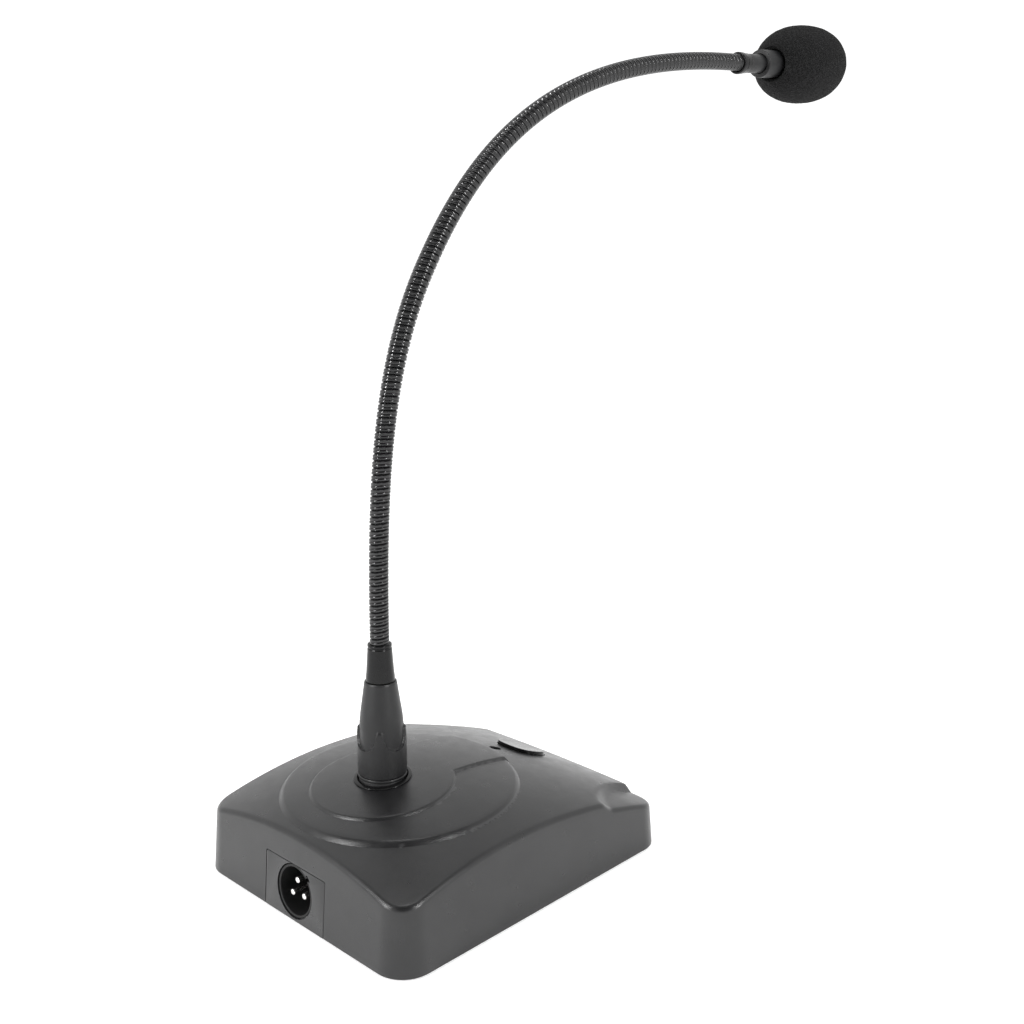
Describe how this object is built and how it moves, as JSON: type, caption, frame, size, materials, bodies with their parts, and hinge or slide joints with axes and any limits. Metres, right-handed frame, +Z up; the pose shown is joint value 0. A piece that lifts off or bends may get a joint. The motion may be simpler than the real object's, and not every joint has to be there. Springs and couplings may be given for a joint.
{
  "type": "gooseneck podium microphone",
  "caption": "Desk-standing gooseneck microphone: weighted base with a rear audio outlet and a talk button, a bendable arm that plugs in, and a foam windscreen.",
  "frame": {"origin": "centre of the base's footprint, on the underside of the anti-slip pad, where it rests on the desk", "axes": "+Z up; +Y to the front, the way the arm leans; +X across the base; the rest pose is symmetric about X = 0 apart from the connector contacts and the wires"},
  "size_m": [0.1172, 0.3349, 0.3334],
  "materials": {
    "housing_plastic": "fine moulded texture, satin",
    "plug_plastic": "satin",
    "gloss_plastic": "gloss",
    "insert_plastic": "satin",
    "gooseneck_metal": "semi-gloss black coating",
    "foam": "open-cell foam",
    "pad_rubber": "matte",
    "zinc_steel": "zinc plated",
    "ballast_iron": "as cast",
    "contact_metal": "silver plated",
    "capsule_metal": "satin",
    "board": "solder mask",
    "led_lens": "clear lens",
    "wire": "satin"
  },
  "bodies": {
    "base": {"base_housing": "housing_plastic", "connector_panel": "housing_plastic", "bottom_plate": "zinc_steel", "antislip_pad": "pad_rubber", "plate_screw_1": "zinc_steel", "plate_screw_2": "zinc_steel", "plate_screw_3": "zinc_steel", "plate_screw_4": "zinc_steel", "ballast_weight": "ballast_iron", "ballast_screw_1": "zinc_steel", "ballast_screw_2": "zinc_steel", "xlr_output_shell": "insert_plastic", "xlr_output_pin_1": "contact_metal", "xlr_output_pin_2": "contact_metal", "xlr_output_pin_3": "contact_metal", "neck_socket": "insert_plastic", "socket_ring": "gloss_plastic", "socket_contact_1": "contact_metal", "socket_contact_2": "contact_metal", "socket_contact_3": "contact_metal", "circuit_board": "board", "board_screw_1": "zinc_steel", "board_screw_2": "zinc_steel", "push_switch": "insert_plastic", "status_led": "led_lens", "output_wires": "wire", "socket_wires": "wire"},
    "button": {"power_button": "gloss_plastic", "switch_plunger": "contact_metal"},
    "arm_foot": {"plug_shell": "plug_plastic", "plug_insert": "insert_plastic", "plug_pin_1": "contact_metal", "plug_pin_2": "contact_metal", "plug_pin_3": "contact_metal", "lower_ferrule": "gloss_plastic", "gooseneck_link_1": "gooseneck_metal"},
    "arm_2": {"gooseneck_link_2": "gooseneck_metal"},
    "arm_3": {"gooseneck_link_3": "gooseneck_metal"},
    "arm_4": {"gooseneck_link_4": "gooseneck_metal"},
    "arm_5": {"gooseneck_link_5": "gooseneck_metal"},
    "arm_6": {"gooseneck_link_6": "gooseneck_metal"},
    "arm_7": {"gooseneck_link_7": "gooseneck_metal"},
    "arm_8": {"gooseneck_link_8": "gooseneck_metal"},
    "head": {"gooseneck_link_9": "gooseneck_metal", "upper_ferrule": "gloss_plastic", "mic_stem": "plug_plastic", "capsule_housing": "plug_plastic", "mic_capsule": "capsule_metal", "capsule_grille": "gooseneck_metal"},
    "windscreen": {"foam_windscreen": "foam"}
  },
  "joints": [
    {"name": "button_press", "type": "slide", "parent": "base", "child": "button", "axis": [0, 0, -1], "range_m": [0, 0.0015], "stiffness_N_per_m": 500},
    {"name": "plug_release", "type": "slide", "parent": "base", "child": "arm_foot", "axis": [0, 0, 1], "range_m": [0, 0.02]},
    {"name": "gooseneck_bend_1", "type": "hinge", "parent": "arm_foot", "child": "arm_2", "pos_m": [0, -0.0263, 0.13345], "axis": [-1, 0, 0], "range_deg": [-20, 20]},
    {"name": "gooseneck_sway_2", "type": "hinge", "parent": "arm_2", "child": "arm_3", "pos_m": [0, -0.02222, 0.17248], "axis": [0, 0.9853, -0.1706], "range_deg": [-20, 20]},
    {"name": "gooseneck_bend_3", "type": "hinge", "parent": "arm_3", "child": "arm_4", "pos_m": [0, -0.01149, 0.21016], "axis": [-1, 0, 0], "range_deg": [-20, 20]},
    {"name": "gooseneck_sway_4", "type": "hinge", "parent": "arm_4", "child": "arm_5", "pos_m": [0, 0.00861, 0.24377], "axis": [0, 0.793, -0.6093], "range_deg": [-20, 20]},
    {"name": "gooseneck_bend_5", "type": "hinge", "parent": "arm_5", "child": "arm_6", "pos_m": [0, 0.03627, 0.27148], "axis": [-1, 0, 0], "range_deg": [-20, 20]},
    {"name": "gooseneck_sway_6", "type": "hinge", "parent": "arm_6", "child": "arm_7", "pos_m": [0, 0.07022, 0.291], "axis": [0, 0.3927, -0.9197], "range_deg": [-20, 20]},
    {"name": "gooseneck_bend_7", "type": "hinge", "parent": "arm_7", "child": "arm_8", "pos_m": [0, 0.10756, 0.30297], "axis": [-1, 0, 0], "range_deg": [-20, 20]},
    {"name": "gooseneck_sway_8", "type": "hinge", "parent": "arm_8", "child": "head", "pos_m": [0, 0.14625, 0.30952], "axis": [0, 0.114, -0.9935], "range_deg": [-20, 20]},
    {"name": "windscreen_pull", "type": "slide", "parent": "head", "child": "windscreen", "axis": [0, 0.9976, 0.0698], "range_m": [0, 0.045]}
  ]
}
